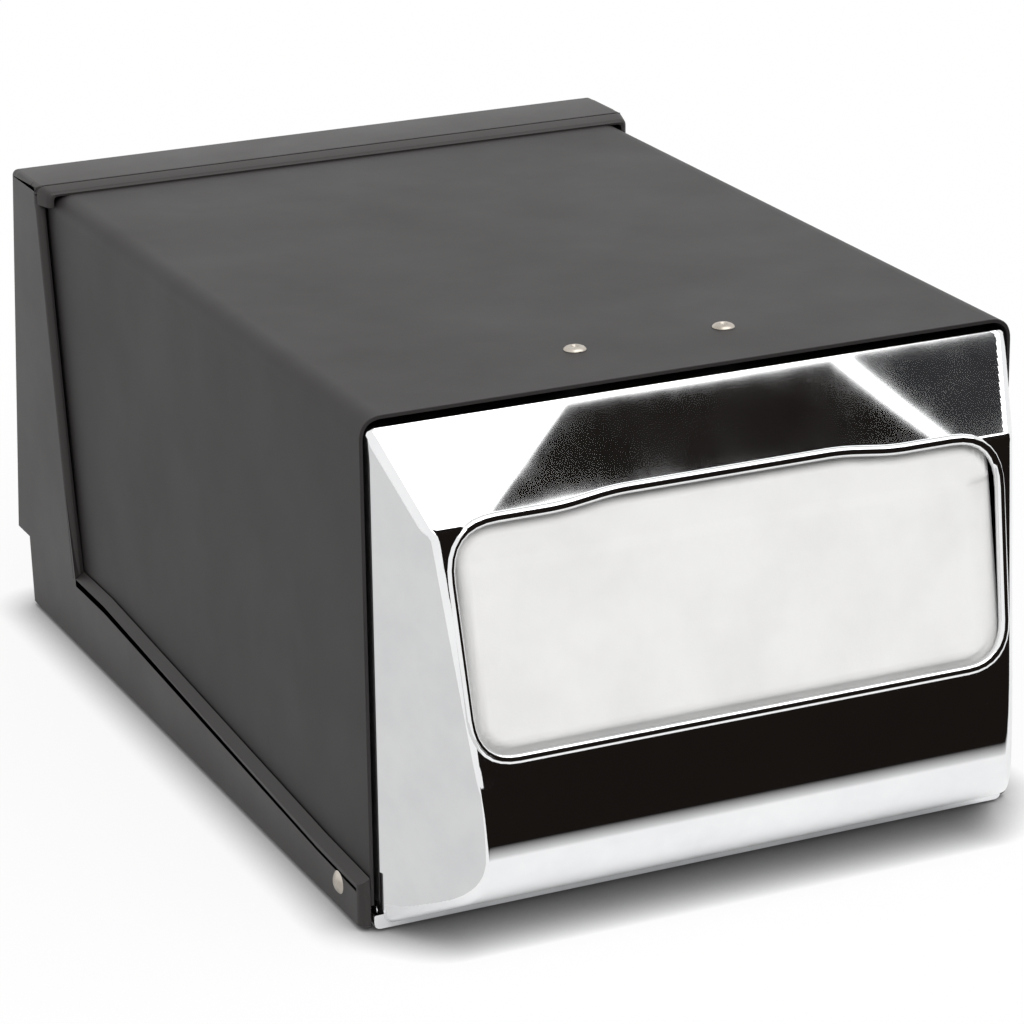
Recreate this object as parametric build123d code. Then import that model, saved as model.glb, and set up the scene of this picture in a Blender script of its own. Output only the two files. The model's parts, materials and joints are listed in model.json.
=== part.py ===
from build123d import *
import os
from math import cos, dist, hypot, pi, sin, sqrt

# Countertop napkin dispenser, in millimetres.
# Sizes are worked out with y = 0 at the cover's front edge, +Y to the rear,
# x = 0 on the centre line and z = 0 on the table. The finished pieces then
# move along Y, so that the origin is under the middle of the whole object.

# Sheet-steel cover
cover_width = 190.0
cover_top_z = 139.9
cover_length = 244.3
cover_skirt_z = 7.0
cover_sheet = 1.2
cover_corner_r = 6.5
cover_toe_r = 3.0

# Base tray and its side rails
wall = 3.0
side_gap = 0.35
tray_lift = 1.0
tray_floor = 2.0
tray_floor_front_y = 25.0
seam_z = 23.2
tray_rear_y = 268.3
tray_rear_lean = 1.8
rail_front_y = -0.8
rail_front_z = 12.0
rail_taper_front_y = 28.0
rail_taper_front_z = 12.8
rail_taper_rear_y = 196.0
rail_toe_r = 2.4
rib_height = 3.0
rib_width = 3.0
rib_xs = (15.0, 70.0)

# Rear cap
cap_top_z = 143.0
cap_front_y = 245.8
cap_rear_top_y = 264.0
cap_rear_low_y = 278.0
wing_low_y = 222.0
wing_high_y = 242.4
wing_high_z = 121.0
cap_corner_r = 5.0
cap_top_r = 1.4
collar_reach = 8.0
collar_gap = 0.5
collar_wall = 2.0
ledge_front_y = 254.0

# Pivot at the rails' front ends
pivot_y = 13.7
pivot_z = 8.7
pivot_shank_r = 2.0
pivot_head_r = 3.2
pivot_head_h = 1.3
bush_r = 3.2
running_gap = 0.05
push_gap = 0.02
ear_r = 6.9
end_play = 0.2

# Chromed face plate
face_wall = 2.2
face_margin = 1.5
face_top_gap = 2.2
face_bottom_z = 1.5
face_flange = 9.0
face_corner_r = 4.5
facet_slope = 0.43
front_lean = 0.191
front_ref_z = 80.0
front_ref_y = -26.1
crest_z = 120.2
knee_z = 41.0
knee_r = 150.0
chin_lean = 0.052
chin_slope = 0.535
chin_r = 16.0
ridge_r = 5.0
crest_r = 2.5
sill_height = 3.4
sill_toe_r = 1.4

# Dispensing opening, measured on the leaning front
mouth_top_half = 79.0
mouth_low_half = 76.4
mouth_low_z = 56.4
mouth_top_z = 114.6
mouth_rise = 1.9
mouth_rise_half = 33.0
mouth_rise_run = 15.0
mouth_top_r = 12.5
mouth_low_r = 11.0
mouth_rise_r = 70.0
bead_r = 1.7
bead_sink = 0.8

# Blind rivets that hold the face plate's tabs
tab_rivet_x = 22.0
tab_rivet_y = 27.5
tab_width = 20.0
rivet_shank_r = 1.6
rivet_head_r = 3.4
rivet_head_h = 1.1
rivet_tail_r = 2.5
rivet_tail_h = 2.4

# Floor pan
pan_sheet = 1.0
pan_half = 85.0
pan_front_y = 26.0
pan_rear_y = 248.0
pan_guide_h = 14.0
pan_bead_h = 1.0
pan_bead_w = 5.0
pan_bead_xs = (35.0, 58.0)
slot_width = 8.0
slot_front_y = 120.0
slot_rear_y = 244.0
pan_rivet_ys = (50.0, 232.0)

# Napkins
stack_top_z = 129.0
stack_rear_y = 150.0
napkin_half = 77.0
napkin_gap = 0.4
napkin_ply = 1.2
ply_gap = 0.05
soft_gap = 0.2
fold_r = 4.5
tuck_z = 50.0
bulge_drop = 4.4
tuck_back = 8.0
bulge_back = 3.0
pad_gap = 1.0
pad_sink = 0.4
pad_r = 1.8
pad_depth = 8.0

# Pusher and its spring
pusher_gap = 0.3
pusher_sheet = 1.2
pusher_half = 76.0
pusher_top_z = 108.0
pusher_flange = 8.0
pusher_corner_r = 8.0
foot_half = 22.0
foot_length = 34.0
shoe_head_half = 9.0
shoe_gap = 0.3
shoe_length = 28.0
spring_r = 30.0
spring_wire = 2.0
spring_turns = 7
spring_z = 58.0
spring_lead = 5.0
seat_boss_r = 26.0
seat_boss_h = 3.5
anchor_y = 252.0
anchor_half = 40.0
anchor_screw = 32.0

# Latch
shelf_z = 112.0
shelf_thick = 2.4
shelf_half = 9.0
shelf_front_y = 222.0
blade_y = (224.0, 236.0)
blade_drop = 20.0
blade_foot = 12.0
clip_sheet = 0.6
clip_touch = 0.15
clip_waist_z = 126.0
clip_mouth_z = 132.0
clip_rear_y = 251.0
clip_screw_y = 245.0

# Screws and feet
screw_r = 1.5
screw_head_r = 3.2
screw_head_h = 2.0
screw_sink = 2.8
boss_r = 4.4
boss_gap = 0.4
cap_screw_xs = (50.0, 90.0)
foot_r = 6.0
foot_sunk = 1.0
foot_ys = (40.0, 246.0)
foot_x = 80.0

# Places worked out from the sizes above
cover_half = cover_width / 2
cover_inner = cover_half - cover_sheet
rail_inner = cover_half + side_gap
body_half = rail_inner + wall
tray_top_z = tray_lift + tray_floor
pan_z = tray_top_z + rib_height
pan_top_z = pan_z + pan_sheet
rest_z = pan_top_z + pan_bead_h + soft_gap
face_half = cover_inner - face_margin
face_top_z = cover_top_z - cover_sheet - face_top_gap
tab_z = face_top_z - face_wall
collar_half = cover_inner - collar_gap
collar_top_z = cover_top_z - cover_sheet - collar_gap
pusher_y = stack_rear_y + pusher_gap
spring_front_y = pusher_y + pusher_sheet
ear_inner = face_half - face_wall
shelf_top_z = shelf_z + shelf_thick
cap_screw_y = tray_rear_y - wall - boss_r - boss_gap
lean_stretch = sqrt(1 + front_lean**2)


def front_y(z):
    """How far forward the leaning front lies at a height."""
    return front_ref_y + front_lean * (z - front_ref_z)


def block(x, y, z):
    """A box between two values on each axis."""
    size = (x[1] - x[0], y[1] - y[0], z[1] - z[0])
    middle = ((x[0] + x[1]) / 2, (y[0] + y[1]) / 2, (z[0] + z[1]) / 2)
    return Pos(*middle) * Box(*size)


def side_slab(points, half):
    """An outline given as (y, z) points, extruded to both sides of x = 0."""
    outline = Plane.YZ * make_face(Polyline(*points, close=True))
    return extrude(outline, half, both=True)


def rod_x(y, z, radius, x):
    """A round bar along X between two values."""
    return Pos((x[0] + x[1]) / 2, y, z) * Rot(0, 90, 0) * Cylinder(radius, abs(x[1] - x[0]))


def rod_y(x, z, radius, y):
    """A round bar along Y between two values."""
    return Pos(x, (y[0] + y[1]) / 2, z) * Rot(90, 0, 0) * Cylinder(radius, abs(y[1] - y[0]))


def rod_z(x, y, radius, z):
    """A round bar along Z between two values."""
    return Pos(x, y, (z[0] + z[1]) / 2) * Cylinder(radius, abs(z[1] - z[0]))


def dome(radius, height):
    """A low domed head that stands on z = 0."""
    ball = (radius**2 + height**2) / (2 * height)
    cap = Pos(0, 0, height - ball) * Sphere(ball)
    return cap & Pos(0, 0, height / 2) * Cylinder(radius * 1.2, height)


def both_sides(piece):
    """The piece and its mirror image."""
    return [piece, mirror(piece, Plane.YZ)]


def cover():
    """Folded hood with rivet holes in its top and pivot holes in its sides."""
    top = cover_top_z
    inner_r = cover_corner_r - cover_sheet
    outer = Polyline((-cover_half, cover_skirt_z), (-cover_half, top), (cover_half, top),
                     (cover_half, cover_skirt_z), close=True)
    inner = Polyline((-cover_inner, cover_skirt_z), (-cover_inner, top - cover_sheet),
                     (cover_inner, top - cover_sheet), (cover_inner, cover_skirt_z), close=True)
    outer_face = make_face(outer)
    inner_face = make_face(inner)
    outer_face = fillet(outer_face.vertices().filter_by(lambda v: v.Y > top - 1), cover_corner_r)
    inner_face = fillet(inner_face.vertices().filter_by(lambda v: v.Y > top - 9), inner_r)
    section = Plane.XZ * (outer_face - inner_face)
    hood = extrude(section, -cover_length)
    toes = hood.edges().filter_by(Axis.X).group_by(Axis.Z)[0]
    hood = fillet(toes, cover_toe_r)
    hood -= rod_x(pivot_y, pivot_z, bush_r + push_gap, (-cover_half - 1, cover_half + 1))
    for x in (-tab_rivet_x, tab_rivet_x):
        hood -= rod_z(x, tab_rivet_y, rivet_shank_r + push_gap, (tab_z, top + 1))
    return hood


def face_side_profile(rear):
    """The face plate seen from the side: top facet, leaning front and rolled chin."""
    knee_y = front_y(knee_z)
    drop = knee_z - face_bottom_z
    chin_depth = (-knee_y + chin_lean * drop) / (1 + chin_lean * chin_slope)
    chin_z = face_bottom_z + chin_slope * chin_depth
    points = [(rear, face_bottom_z), (rear, face_top_z), (0, face_top_z),
              (front_y(crest_z), crest_z), (knee_y, knee_z), (-chin_depth, chin_z),
              (0, face_bottom_z)]
    outline = make_face(Polyline(*points, close=True))
    knee = outline.vertices().filter_by(lambda v: hypot(v.X - knee_y, v.Y - knee_z) < 0.1)
    outline = fillet(knee, knee_r)
    chin = outline.vertices().filter_by(lambda v: hypot(v.X + chin_depth, v.Y - chin_z) < 0.1)
    return fillet(chin, chin_r)


def face_plan_profile(rear, half):
    """The face plate seen from above: sides that draw in towards the front."""
    reach = 2 * abs(front_ref_y)
    points = [(-half, rear), (-half, 0), (-half + facet_slope * reach, -reach),
              (half - facet_slope * reach, -reach), (half, 0), (half, rear)]
    return make_face(Polyline(*points, close=True))


def face_body(inset, rear):
    """The bulged form of the face plate, drawn in on all sides by the inset."""
    side = face_side_profile(rear)
    plan = face_plan_profile(rear, face_half)
    front = Pos(0, (face_top_z + face_bottom_z) / 2) * RectangleRounded(
        2 * (face_half - inset), face_top_z - face_bottom_z - 2 * inset, face_corner_r - inset)
    if inset:
        side = offset(side, -inset)
        plan = offset(plan, -inset)
    body = extrude(Plane.YZ * side, face_half, both=True)
    body &= extrude(plan, face_top_z)
    body &= extrude(Plane.XZ * front, 2 * abs(front_ref_y), both=True)
    return body


def mouth_plane():
    """The leaning plane of the dispensing opening, with its normal outwards."""
    origin = (0, front_ref_y, front_ref_z)
    return Plane(origin=origin, x_dir=(1, 0, 0), z_dir=(0, -1, front_lean))


def mouth_outline():
    """The opening: rounded corners, sides that taper and a raised middle at the top."""
    low = (mouth_low_z - front_ref_z) * lean_stretch
    top = (mouth_top_z - front_ref_z) * lean_stretch
    high = top + mouth_rise
    far = mouth_rise_half + mouth_rise_run
    near = mouth_rise_half
    outline = make_face(Polyline(
        (-mouth_low_half, low), (mouth_low_half, low), (mouth_top_half, top), (far, top),
        (near, high), (-near, high), (-far, top), (-mouth_top_half, top), close=True))
    steps = outline.vertices().filter_by(lambda v: abs(v.X) < far + 1)
    outline = fillet(steps, mouth_rise_r)
    upper = outline.vertices().filter_by(lambda v: abs(v.X) > mouth_top_half - 1)
    outline = fillet(upper, mouth_top_r)
    lower = outline.vertices().filter_by(lambda v: v.Y < low + 1)
    return fillet(lower, mouth_low_r)


def face_plate():
    """Chromed moulding: bulged shell, rolled rim, sill, tabs and pivot ears."""
    body = face_body(0, face_flange)
    ridges = body.edges().filter_by(
        lambda e: face_half - 0.5 > abs(e.center().X) > face_half / 2 and e.center().Y < -1)
    body = fillet(ridges, ridge_r)
    crest = body.edges().filter_by(Axis.X).filter_by(lambda e: abs(e.center().Z - crest_z) < 1)
    body = fillet(crest, crest_r)
    shell = body - face_body(face_wall, 2 * face_flange)
    outline = mouth_outline()
    hole = mouth_plane() * offset(outline, bead_sink)
    shell -= extrude(hole, 3 * face_wall, both=True)
    path = (mouth_plane() * Pos(0, 0, -bead_sink) * offset(outline, bead_r)).face().outer_wire()
    shell += sweep(Plane(origin=path @ 0, z_dir=path % 0) * Circle(bead_r), path=path)
    sill = block((-cover_half, cover_half), (-face_wall, face_flange),
                 (face_bottom_z, face_bottom_z + sill_height))
    sill = fillet(sill.edges().filter_by(Axis.Y), sill_toe_r)
    shell += sill - block((-ear_inner, ear_inner), (-face_wall, 2 * face_flange),
                          (face_bottom_z + face_wall, seam_z))
    for x in (-tab_rivet_x, tab_rivet_x):
        tab = block((x - tab_width / 2, x + tab_width / 2),
                    (face_flange - 1, tab_rivet_y + tab_width / 2), (tab_z, face_top_z))
        corners = tab.edges().filter_by(Axis.Z).group_by(Axis.Y)[-1]
        tab = fillet(corners, tab_width / 4)
        tab += rod_z(x, tab_rivet_y, tab_width / 3, (tab_z, cover_top_z - cover_sheet))
        shell += tab - rod_z(x, tab_rivet_y, rivet_shank_r + push_gap, (0, cover_top_z))
    for x in ((-face_half, -ear_inner), (ear_inner, face_half)):
        ear = rod_x(pivot_y, pivot_z, ear_r, x)
        ear += block(x, (0, pivot_y), (pivot_z - ear_r, pivot_z + ear_r))
        shell += ear
    shell -= rod_x(pivot_y, pivot_z, bush_r + push_gap, (-cover_half, cover_half))
    return shell


def face_rivet(x):
    """Blind rivet: domed flange with its mandrel hole, shank and swelled tail."""
    head = Pos(x, tab_rivet_y, cover_top_z) * dome(rivet_head_r, rivet_head_h)
    rivet = head + rod_z(x, tab_rivet_y, rivet_shank_r, (tab_z - rivet_tail_h, cover_top_z))
    tail = Pos(x, tab_rivet_y, tab_z - rivet_tail_h / 2) * Cylinder(rivet_tail_r, rivet_tail_h)
    rivet += fillet(tail.edges(), rivet_tail_h / 3)
    return rivet - rod_z(x, tab_rivet_y, rivet_shank_r * 0.6, (cover_top_z - 1, cover_top_z + 2))


def tray():
    """Base tray: floor, rear wall and the two tapered rails."""
    points = [(rail_front_y, tray_lift), (tray_rear_y, tray_lift),
              (tray_rear_y + tray_rear_lean, seam_z), (rail_taper_rear_y, seam_z),
              (rail_taper_front_y, rail_taper_front_z), (rail_front_y, rail_front_z)]
    body = side_slab(points, body_half)
    corners = body.edges().filter_by(lambda e: abs(e.center().X) > body_half - 1)
    rear = corners.filter_by(lambda e: e.center().Y > tray_rear_y - 1)
    front = corners.filter_by(lambda e: e.center().Y < rail_front_y + 1)
    low = corners.filter_by(lambda e: e.center().Z < tray_lift + 0.1)
    body = fillet(rear, cap_corner_r)
    front = body.edges().filter_by(
        lambda e: abs(e.center().X) > body_half - 1 and e.center().Y < rail_front_y + 1)
    body = fillet(front, rail_toe_r)
    body = chamfer(body.faces().sort_by(Axis.Z)[0].edges(), 0.6)
    body -= block((-rail_inner, rail_inner), (rail_front_y - 1, tray_floor_front_y), (0, seam_z))
    body -= block((-rail_inner, rail_inner), (tray_floor_front_y - 1, tray_rear_y - wall),
                  (tray_top_z, seam_z + 1))
    for x in rib_xs:
        body += both_sides(block((x - rib_width / 2, x + rib_width / 2),
                                 (pan_front_y, pan_rear_y), (tray_lift, pan_z)))
    for x in cap_screw_xs:
        for side in (-x, x):
            body += rod_z(side, cap_screw_y, boss_r, (tray_lift, pan_z))
            body -= rod_z(side, cap_screw_y, screw_head_r + 2 * side_gap, (0, tray_lift + screw_sink))
            body -= rod_z(side, cap_screw_y, screw_r + 2 * running_gap, (0, pan_z))
    for y in foot_ys:
        for x in (-foot_x, foot_x):
            body -= rod_z(x, y, foot_r + running_gap, (0, tray_lift + foot_sunk))
    for y in pan_rivet_ys:
        for x in (-rib_xs[1], rib_xs[1]):
            body += rod_z(x, y, boss_r, (tray_lift, pan_z))
            body -= rod_z(x, y, rivet_shank_r + push_gap, (0, pan_z))
    body -= rod_x(pivot_y, pivot_z, pivot_shank_r + push_gap, (-body_half - 1, body_half + 1))
    return body


def rear_cap():
    """Moulded cap: raised rim, slanted wings, collar, ledge, latch shelf and bosses."""
    outer_points = [(wing_low_y, seam_z), (wing_high_y, wing_high_z), (cap_front_y - 1, cap_top_z - 6),
                    (cap_front_y, cap_top_z), (cap_rear_top_y, cap_top_z), (cap_rear_low_y, seam_z)]
    outer = side_slab(outer_points, body_half)
    rear_corners = outer.edges().filter_by(
        lambda e: abs(e.center().X) > body_half - 1 and e.center().Y > cap_rear_top_y)
    outer = fillet(rear_corners, cap_corner_r)
    lean = (cap_rear_low_y - cap_rear_top_y) / (cap_top_z - seam_z)
    inner_points = [(0, 0), (0, cap_top_z - wall), (cap_rear_top_y - wall + lean * wall, cap_top_z - wall),
                    (cap_rear_low_y - wall, seam_z), (cap_rear_low_y - wall, 0)]
    cavity = side_slab(inner_points, rail_inner)
    shell = outer - cavity
    front_wall = block((-body_half, body_half), (cap_front_y, cap_front_y + collar_wall), (seam_z, cap_top_z))
    collar = block((-collar_half, collar_half), (cap_front_y - collar_reach, cap_front_y + collar_wall),
                   (seam_z, collar_top_z))
    collar = fillet(collar.edges().filter_by(Axis.Y).group_by(Axis.Z)[-1], cover_corner_r - 2 * cover_sheet)
    window = block((-collar_half + collar_wall, collar_half - collar_wall), (0, cap_rear_low_y),
                   (0, collar_top_z - collar_wall))
    window = fillet(window.edges().filter_by(Axis.Y).group_by(Axis.Z)[-1], collar_wall)
    shell += ((front_wall & outer) + collar) - window
    ledge = block((-rail_inner, rail_inner), (ledge_front_y, cap_rear_low_y), (seam_z, seam_z + wall))
    shell += ledge & outer
    inside = outer - block((-body_half, body_half), (0, cap_front_y), (0, cap_top_z))
    for x in cap_screw_xs:
        shell += both_sides(rod_z(x, cap_screw_y, boss_r, (pan_z, seam_z + wall)))
    for x in (-anchor_screw, anchor_screw):
        for z in (spring_z - anchor_screw, spring_z + anchor_screw):
            post = rod_y(x, z, boss_r, (anchor_y + pusher_sheet, cap_rear_low_y)) & inside
            shell += post
            shell -= rod_y(x, z, screw_r, (anchor_y, anchor_y + 10))
    shelf = block((-shelf_half, shelf_half), (shelf_front_y, cap_rear_low_y), (shelf_z, shelf_top_z))
    shelf = fillet(shelf.edges().filter_by(Axis.Z).group_by(Axis.Y)[0], 3)
    gusset_points = [(shelf_front_y + 12, shelf_z), (cap_rear_low_y, shelf_z - 24), (cap_rear_low_y, shelf_z)]
    for x in (-shelf_half + 1.5, shelf_half - 1.5):
        shelf += Pos(x, 0, 0) * side_slab(gusset_points, 1)
    shelf += rod_z(0, clip_screw_y, screw_r * 2, (shelf_z - 6, shelf_z))
    reach = block((-body_half, body_half), (0, cap_front_y + 1), (0, cap_top_z))
    shell += shelf & (inside + reach)
    shell -= rod_z(0, clip_screw_y, screw_r, (shelf_z - 7, shelf_top_z))
    for x in cap_screw_xs:
        for side in (-x, x):
            shell -= rod_z(side, cap_screw_y, screw_r, (pan_z, seam_z))
    rim = shell.edges().filter_by(lambda e: e.center().Z > cap_top_z - 0.1)
    shell = fillet(rim, cap_top_r)
    return shell


def pivot_bush(side):
    """Flanged plastic bush through the cover's side and the face plate's ear."""
    flange = side * (ear_inner - 1)
    bush = rod_x(pivot_y, pivot_z, bush_r, (side * cover_half, flange))
    bush += rod_x(pivot_y, pivot_z, bush_r + 1.6, (side * ear_inner, flange))
    return bush - rod_x(pivot_y, pivot_z, pivot_shank_r + running_gap, (side * body_half, 0))


def pivot_rivet(side):
    """Rivet through the rail: domed head outside, clinched head inside the bush."""
    tail = side * (ear_inner - 1 - end_play)
    rivet = rod_x(pivot_y, pivot_z, pivot_shank_r, (side * body_half, tail - side * 1.5))
    rivet += rod_x(pivot_y, pivot_z, pivot_head_r - 0.3, (tail, tail - side * 1.5))
    head = Rot(0, 90 * side, 0) * dome(pivot_head_r, pivot_head_h)
    return rivet + Pos(side * body_half, pivot_y, pivot_z) * head


def floor_pan():
    """Steel floor with upturned guides, runner beads and the shoe's slot."""
    length = pan_rear_y - pan_front_y
    middle = (pan_front_y + pan_rear_y) / 2
    outer = Rectangle(2 * pan_half, pan_guide_h + pan_sheet)
    inner = Pos(0, pan_sheet) * Rectangle(2 * (pan_half - pan_sheet), pan_guide_h + pan_sheet)
    outer = fillet(outer.vertices().group_by(Axis.Y)[0], 2 * pan_sheet)
    inner = fillet(inner.vertices().group_by(Axis.Y)[0], pan_sheet)
    section = Plane.XZ * (outer - inner)
    lift = pan_z + (pan_guide_h + pan_sheet) / 2
    pan = Pos(0, middle + length / 2, lift) * extrude(section, length)
    for x in pan_bead_xs:
        bead = block((x - pan_bead_w / 2, x + pan_bead_w / 2), (pan_front_y + 8, pan_rear_y - 8),
                     (pan_top_z - pan_sheet / 2, pan_top_z + pan_bead_h))
        bead = fillet(bead.edges().group_by(Axis.Z)[-1], pan_bead_h * 0.9)
        pan += both_sides(bead)
    slot = Pos(0, (slot_front_y + slot_rear_y) / 2, pan_z) * SlotOverall(
        slot_rear_y - slot_front_y, slot_width, rotation=90)
    pan -= extrude(slot, pan_sheet * 3, both=True)
    for y in pan_rivet_ys:
        for x in (-rib_xs[1], rib_xs[1]):
            pan -= rod_z(x, y, rivet_shank_r + push_gap, (0, pan_top_z + 1))
    return pan


def pan_rivets():
    """Four rivets that hold the floor pan on the tray's bosses."""
    rivets = []
    for y in pan_rivet_ys:
        for x in (-rib_xs[1], rib_xs[1]):
            head = Pos(x, y, pan_top_z) * dome(rivet_shank_r * 1.7, pan_bead_h * 0.9)
            rivets.append(head + rod_z(x, y, rivet_shank_r, (tray_lift + 0.5, pan_top_z)))
    return rivets


def napkin_pack(grow):
    """A pack of folded napkins whose front follows the leaning face plate."""
    depth = bead_sink + bead_r + napkin_gap + napkin_ply - grow
    high = crest_z - bulge_drop + grow
    points = [(stack_rear_y, rest_z), (stack_rear_y, stack_top_z), (-bulge_back, stack_top_z),
              (front_y(high) + depth, high), (front_y(tuck_z) + depth, tuck_z),
              (front_y(tuck_z) + depth + tuck_back, tuck_z / 2),
              (-bulge_back, rest_z + napkin_ply), (bulge_back, rest_z)]
    half = napkin_half + grow
    plan = Rectangle(2 * half, 2 * stack_rear_y)
    plan = fillet(plan.vertices().group_by(Axis.Y)[0], fold_r + grow)
    plan = Pos(0, front_y(0) + depth + stack_rear_y) * plan
    leaning = extrude(plan, stack_top_z * lean_stretch, dir=(0, front_lean, 1))
    return side_slab(points, half) & leaning


def front_napkin():
    """The front napkin: a sheet over the pack that swells into the opening."""
    pad = extrude(mouth_plane() * Pos(0, 0, -pad_depth) * offset(mouth_outline(), -pad_gap),
                  pad_depth - pad_sink)
    rims = pad.edges().group_by(Axis((0, 0, 0), (0, -1, front_lean)))[-1]
    pad = fillet(rims, pad_r)
    sheet = napkin_pack(napkin_ply) + pad - napkin_pack(ply_gap)
    tall = (rest_z + bulge_back, stack_top_z - bulge_back)
    return sheet & block((-face_half, face_half), (2 * front_ref_y, front_ref_y / 2), tall)


def pusher_plate():
    """Stamped follower plate with rear flanges, a spring seat and a foot."""
    depth = pusher_sheet + pusher_flange
    tray_block = block((-pusher_half, pusher_half), (pusher_y, pusher_y + depth), (rest_z, pusher_top_z))
    tray_block = fillet(tray_block.edges().filter_by(Axis.Y), pusher_corner_r)
    rear = tray_block.faces().sort_by(Axis.Y)[-1]
    tray_block = fillet(tray_block.faces().sort_by(Axis.Y)[0].edges(), 2 * pusher_sheet)
    rear = tray_block.faces().sort_by(Axis.Y)[-1]
    plate = offset(tray_block, -pusher_sheet, openings=[rear])
    boss = rod_y(0, spring_z, seat_boss_r, (spring_front_y - pusher_sheet, spring_front_y + seat_boss_h))
    boss = fillet(boss.edges().group_by(Axis.Y)[-1], 2)
    plate += boss
    dish = rod_y(0, spring_z, seat_boss_r - pusher_sheet * 2,
                 (pusher_y - 1, spring_front_y + seat_boss_h - pusher_sheet))
    plate -= dish
    foot = block((-foot_half, foot_half), (pusher_y + pusher_sheet, pusher_y + pusher_sheet + foot_length),
                 (rest_z, rest_z + pusher_sheet))
    foot = fillet(foot.edges().filter_by(Axis.Z).group_by(Axis.Y)[-1], foot_half / 4)
    plate += foot
    for y in shoe_screw_ys():
        plate -= rod_z(0, y, screw_r + running_gap, (rest_z - 1, rest_z + 3))
    return plate


def shoe_middle_y():
    """Middle of the shoe, under the pusher's foot."""
    return pusher_y + pusher_sheet + foot_length - shoe_length / 2 - 3


def shoe_screw_ys():
    """Places of the two screws along the shoe."""
    return (shoe_middle_y() - shoe_length / 3.5, shoe_middle_y() + shoe_length / 3.5)


def pusher_shoe():
    """T-shaped slider whose neck runs in the pan's slot."""
    middle = shoe_middle_y()
    neck_half = slot_width / 2 - 2 * running_gap
    head = extrude(Pos(0, middle, tray_top_z + shoe_gap) * RectangleRounded(
        2 * shoe_head_half, shoe_length, 3), rib_height - 2 * shoe_gap)
    neck = extrude(Pos(0, middle, tray_top_z + shoe_gap) * RectangleRounded(
        2 * neck_half, shoe_length, 3), rest_z - tray_top_z - shoe_gap)
    shoe = head + neck
    for y in shoe_screw_ys():
        shoe -= rod_z(0, y, screw_r, (tray_top_z + 1, rest_z))
    return shoe


def shoe_screws():
    """Two pan-head screws down through the foot into the shoe."""
    screws = []
    for y in shoe_screw_ys():
        head = Pos(0, y, rest_z + pusher_sheet) * dome(screw_head_r, screw_head_h)
        screws.append(head + rod_z(0, y, screw_r, (tray_top_z + 1, rest_z + pusher_sheet)))
    return screws


def helix_point(turn, start_y, rise):
    """Point and direction on the coil after a number of turns."""
    angle = 2 * pi * turn
    point = Vector(spring_r * cos(angle), start_y + rise * turn, spring_z + spring_r * sin(angle))
    direction = Vector(-2 * pi * spring_r * sin(angle), rise, 2 * pi * spring_r * cos(angle))
    return point, direction.normalized()


def biarc(start, start_dir, end, end_dir):
    """Two tangent arcs between two points with given directions."""
    chord = end - start
    both = start_dir + end_dir
    a = 2 * (1 - start_dir.dot(end_dir))
    b = 2 * chord.dot(both)
    c = -chord.dot(chord)
    reach = (-b + sqrt(b * b - 4 * a * c)) / (2 * a)
    corner_1 = start + start_dir * reach
    corner_2 = end - end_dir * reach
    joint = (corner_1 + corner_2) * 0.5
    along = (corner_2 - corner_1).normalized()
    return [Edge.make_tangent_arc(start, start_dir, joint), Edge.make_tangent_arc(joint, along, end)]


def least_gap(wire):
    """Least gap of the spring's wire to itself, measured on points 2 mm apart."""
    count = int(wire.length / 2)
    points = [tuple(wire @ (n / count)) for n in range(count + 1)]
    apart = int(2 * spring_wire)
    gaps = [dist(p, q) for n, p in enumerate(points) for q in points[n + apart:]]
    return min(gaps) - spring_wire


def pusher_spring():
    """Coil spring: half turns as biarcs, with square ends that run straight."""
    first_y = spring_front_y + spring_wire
    last_y = anchor_y - spring_wire
    start_turn = 0.035
    rise = (last_y - first_y - 2 * spring_lead) / (spring_turns - 2 * start_turn)
    helix_y = first_y + spring_lead - rise * start_turn
    axial = Vector(0, 1, 0)
    entry = Vector(spring_r, first_y, spring_z)
    leave = Vector(spring_r, last_y, spring_z)
    edges = [Edge.make_line(entry - axial * spring_wire, entry)]
    stops = [start_turn] + [n / 2 for n in range(1, 2 * spring_turns)] + [spring_turns - start_turn]
    knots = [(entry, axial)]
    knots += [helix_point(turn, helix_y, rise) for turn in stops]
    knots += [(leave, axial)]
    for (p, p_dir), (q, q_dir) in zip(knots[:-1], knots[1:]):
        edges += biarc(p, p_dir, q, q_dir)
    edges.append(Edge.make_line(leave, leave + axial * spring_wire))
    wire = Wire(edges)
    print("spring: least gap to itself", round(least_gap(wire), 2), "mm, wire length",
          round(wire.length, 1), "mm")
    start = Plane(origin=wire @ 0, z_dir=axial)
    coil = sweep(start * Circle(spring_wire / 2), path=wire)
    print("spring: volume", round(coil.volume, 1), "of", round(wire.length * pi * spring_wire**2 / 4, 1))
    return coil


def spring_anchor():
    """Stamped plate on the cap's posts that seats the spring's rear end."""
    plate = extrude(Plane.XZ * Pos(0, spring_z) * RectangleRounded(2 * anchor_half, 2 * anchor_half, 8),
                    -pusher_sheet)
    plate = Pos(0, anchor_y, 0) * plate
    boss = rod_y(0, spring_z, seat_boss_r, (anchor_y - seat_boss_h, anchor_y + pusher_sheet))
    boss = fillet(boss.edges().group_by(Axis.Y)[0], 2)
    plate += boss
    plate -= rod_y(0, spring_z, seat_boss_r - 2 * pusher_sheet,
                   (anchor_y - seat_boss_h + pusher_sheet, anchor_y + 3))
    for x in (-anchor_screw, anchor_screw):
        for z in (spring_z - anchor_screw, spring_z + anchor_screw):
            plate -= rod_y(x, z, screw_r + running_gap, (anchor_y - 1, anchor_y + 3))
    return plate


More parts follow.
